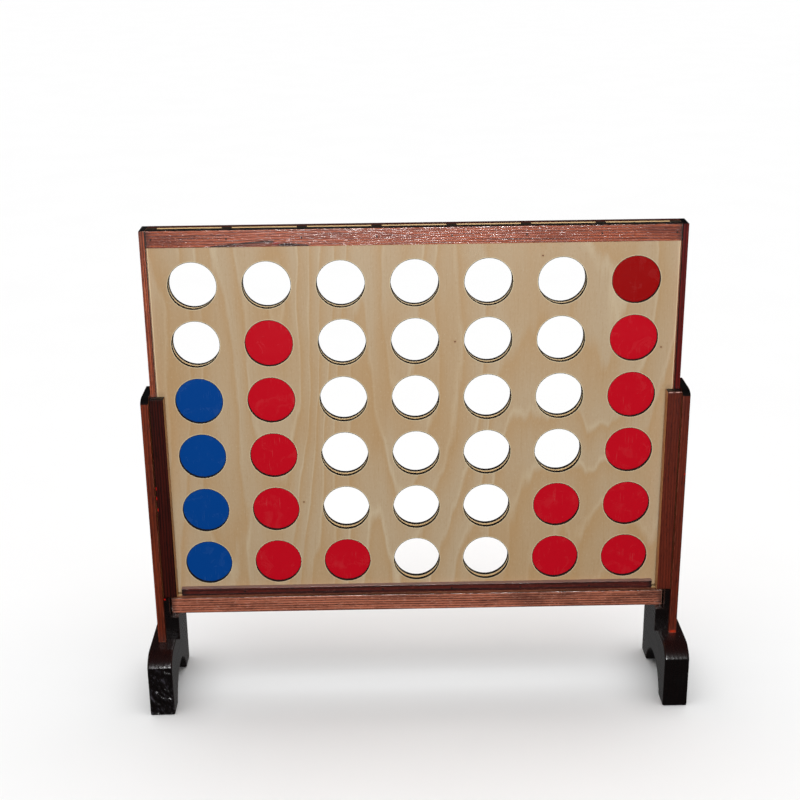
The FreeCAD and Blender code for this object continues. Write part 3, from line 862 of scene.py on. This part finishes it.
def gridded_copy(node, size):
    """A new piece with a node's shape in an even net of small faces."""
    piece = bpy.data.objects.new(f"{node}_grained", frame["nodes"][node].data.copy())
    bpy.context.scene.collection.objects.link(piece)
    net = piece.modifiers.new("net", "REMESH")
    net.mode = "VOXEL"
    net.voxel_size = size
    result = piece.evaluated_get(bpy.context.evaluated_depsgraph_get())
    mesh = bpy.data.meshes.new_from_object(result)
    piece.modifiers.clear()
    piece.data = mesh
    return piece


def rib_depth(place, seed):
    """0 on the crests of rough end grain and 1 in the torn hollows between its wavy ribs."""
    bend = noise.noise(Vector((34 * place.x, seed, 30 * place.z)))
    across = place.x + RIB_SLANT * place.z
    along = place.z - RIB_SLANT * place.x
    rib = noise.noise(Vector((190 * across + 1.6 * bend, seed, 44 * along)))
    torn = noise.noise(Vector((260 * across, seed, 130 * along + 3)))
    return min(max(0.45 + 0.75 * rib + 0.35 * torn, 0.0), 1.0)


def grained_foot(side):
    """A foot whose end grain stands out in ribs, cut into the front and rear faces."""
    node = f"{side}_foot"
    low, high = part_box(node)
    piece = gridded_copy(node, FOOT_GRID)
    normals = [point.normal.copy() for point in piece.data.vertices]
    for point, normal in zip(piece.data.vertices, normals):
        share = (abs(normal.y) - END_FACING) / (1 - END_FACING)
        place = point.co.copy()
        if share > 0:
            place -= FOOT_RIBS[side] * share * rib_depth(place, FOOT_SEEDS[side]) * normal
        point.co = [min(max(part, least), most) for part, least, most in zip(place, low, high)]
    for face in piece.data.polygons:
        face.use_smooth = True
    piece.data.materials.clear()
    piece.data.materials.append(frame["nodes"][node].data.materials[0])
    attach(piece, f"{side}_leg")
    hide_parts(node)


# ---- discs and fasteners -------------------------------------------------------------
# Each disc's colour and the paler one that it is rubbed to.
DISC_RED = (paint(214, 12, 34), paint(240, 130, 130))
DISC_DEEP_RED = (paint(168, 8, 10), paint(214, 90, 90))
DISC_BLUE = (paint(2, 72, 156), paint(110, 156, 204))
DEEP_RED_DISC = (7, 6)

# The bright and the tarnished colour of each steel.
BRAD_STEEL = (paint(96, 84, 78), paint(34, 26, 22))
SCREW_STEEL = (paint(150, 146, 136), paint(86, 78, 66))


def dress_discs():
    plastics = {"red": plastic("red_disc", *DISC_RED, 1)}
    deep_red = plastic("deep_red_disc", *DISC_DEEP_RED, 2)
    plastics["blue"] = plastic("blue_disc", *DISC_BLUE, 3)
    for column, (colour, count) in STACKS.items():
        for level in range(1, count + 1):
            deep = (column, level) == DEEP_RED_DISC
            dress(f"{colour}_disc_{column}_{level}", deep_red if deep else plastics[colour])


def dress_fasteners():
    brads = metal("brad_steel", *BRAD_STEEL, 0.42)
    screws = metal("screw_steel", *SCREW_STEEL, 0.34)
    for node in frame["nodes"]:
        if node.endswith("brads"):
            dress(node, brads)
        if node.endswith("screws") or node.endswith("lags"):
            dress(node, screws)


# ---- floor, light and picture ----------------------------------------------------
FLOOR_HALF = 30.0
FLOOR_LIGHT = paint(246, 246, 246)
FLOOR_DIM = paint(243, 243, 243)
BACKDROP = paint(252, 252, 252)

# How bright the world is all round, and what the floor far behind the game adds: an axis of the
# look's direction, where the glow begins along it and where it is full.
ROOM_GLOW = 0.03
FLOOR_GLOW = 0.10
TO_THE_BACK = (1, 0.30, 0.60)
BELOW_THE_HORIZON = (2, 0.05, -0.15)

# Lights: place, the point aimed at, size and watts.
KEY = ((0.0, -2.45, 1.45), (0, 0, 0.45), (0.40, 0.14), 45)
FILLS = {
    "front_fill": ((0.0, -3.0, 0.15), (0, 0, 0.3), (1.6, 0.3), 12),
    "back_fill": ((0.3, 3.0, 1.3), (0, 0, 0.4), (2.4, 1.2), 75),
    "left_fill": ((-3.0, 0.3, 0.9), (0, 0, 0.4), (1.6, 1.0), 22),
    "right_fill": ((3.0, 0.3, 0.9), (0, 0, 0.4), (1.6, 1.0), 22),
}
WASH_PLACE = (0, 0, 4)
WASH_STRENGTH = 3.35
WASH_SPREAD = 80


def make_floor():
    """A pale floor, far wider than the picture."""
    corners = [(x, y, 0) for x, y in ((-1, -1), (1, -1), (1, 1), (-1, 1))]
    mesh = bpy.data.meshes.new("floor")
    mesh.from_pydata([[FLOOR_HALF * part for part in corner] for corner in corners], [], [(0, 1, 2, 3)])
    floor = bpy.data.objects.new("floor", mesh)
    bpy.context.scene.collection.objects.link(floor)
    graph = Graph("floor")
    cloud = graph.noise(graph.place, 3.0, 3.0)
    pale = graph.mix(cloud, FLOOR_LIGHT, FLOOR_DIM)
    mesh.materials.append(graph.finish(pale, 0.9, graph.bump(cloud, 0.0002), Specular_IOR_Level=0.0))
    return floor


def area_light(name, place, target, size, energy):
    """A rectangle of light at place that shines towards target."""
    data = bpy.data.lights.new(name, "AREA")
    data.shape = "RECTANGLE"
    data.size, data.size_y = size
    data.energy = energy
    light = bpy.data.objects.new(name, data)
    light.location = place
    light.rotation_euler = (Vector(place) - Vector(target)).to_track_quat("Z", "Y").to_euler()
    bpy.context.scene.collection.objects.link(light)
    return light


def link_only(light, objects):
    """The light shines on these objects and on nothing else."""
    lit = bpy.data.collections.new(f"{light.name}_lights")
    for lit_object in objects:
        lit.objects.link(lit_object)
    light.light_linking.receiver_collection = lit


def soft_fill(name, place, target, size, energy, pieces):
    """A broad light that leaves no reflection."""
    light = area_light(name, place, target, size, energy)
    light.visible_glossy = False
    link_only(light, pieces)


def make_light(floor):
    """A front light near the camera, soft fills all round, and an even wash on the floor alone."""
    pieces = [thing for thing in bpy.context.scene.objects if thing.type == "MESH" and thing != floor]
    link_only(area_light("key", *KEY), pieces)
    for name, fill in FILLS.items():
        soft_fill(name, *fill, pieces)
    data = bpy.data.lights.new("floor_wash", "SUN")
    data.energy = WASH_STRENGTH
    data.angle = math.radians(WASH_SPREAD)
    wash = bpy.data.objects.new("floor_wash", data)
    wash.location = WASH_PLACE
    bpy.context.scene.collection.objects.link(wash)
    link_only(wash, [floor])
    floor.visible_diffuse = False
    floor.visible_glossy = False


def world_light(nodes, links):
    """What lights the game from all round: a dim room, and the pale floor far behind the game."""
    place = nodes.new("ShaderNodeTexCoord")
    parts = nodes.new("ShaderNodeSeparateXYZ")
    links.new(place.outputs["Generated"], parts.inputs[0])
    ways = []
    for part, begin, end in (TO_THE_BACK, BELOW_THE_HORIZON):
        way = nodes.new("ShaderNodeMapRange")
        way.interpolation_type = "SMOOTHSTEP"
        way.inputs["From Min"].default_value = begin
        way.inputs["From Max"].default_value = end
        links.new(parts.outputs[part], way.inputs["Value"])
        ways.append(way)
    glow = nodes.new("ShaderNodeMath")
    glow.operation = "MULTIPLY"
    level = nodes.new("ShaderNodeMath")
    level.operation = "MULTIPLY_ADD"
    level.inputs[1].default_value = FLOOR_GLOW
    level.inputs[2].default_value = ROOM_GLOW
    room = nodes.new("ShaderNodeBackground")
    for way, socket in zip(ways, glow.inputs):
        links.new(way.outputs[0], socket)
    links.new(glow.outputs[0], level.inputs[0])
    links.new(level.outputs[0], room.inputs["Color"])
    return room


def make_world():
    """A dim room that the camera sees as a pale backdrop."""
    world = bpy.data.worlds.new("room")
    world.use_nodes = True
    nodes, links = world.node_tree.nodes, world.node_tree.links
    nodes.clear()
    room = world_light(nodes, links)
    pale = nodes.new("ShaderNodeBackground")
    pale.inputs["Color"].default_value = BACKDROP
    path = nodes.new("ShaderNodeLightPath")
    either = nodes.new("ShaderNodeMixShader")
    output = nodes.new("ShaderNodeOutputWorld")
    links.new(path.outputs["Is Camera Ray"], either.inputs[0])
    links.new(room.outputs[0], either.inputs[1])
    links.new(pale.outputs[0], either.inputs[2])
    links.new(either.outputs[0], output.inputs[0])
    bpy.context.scene.world = world


def set_picture():
    view = bpy.context.scene.view_settings
    view.view_transform = "Standard"
    view.look = "None"


make_camera()
dress_board()
dress_legs()
for side in SIDES:
    grained_foot(side)
dress_release_bar()
dress_discs()
dress_fasteners()
make_light(make_floor())
make_world()
set_picture()
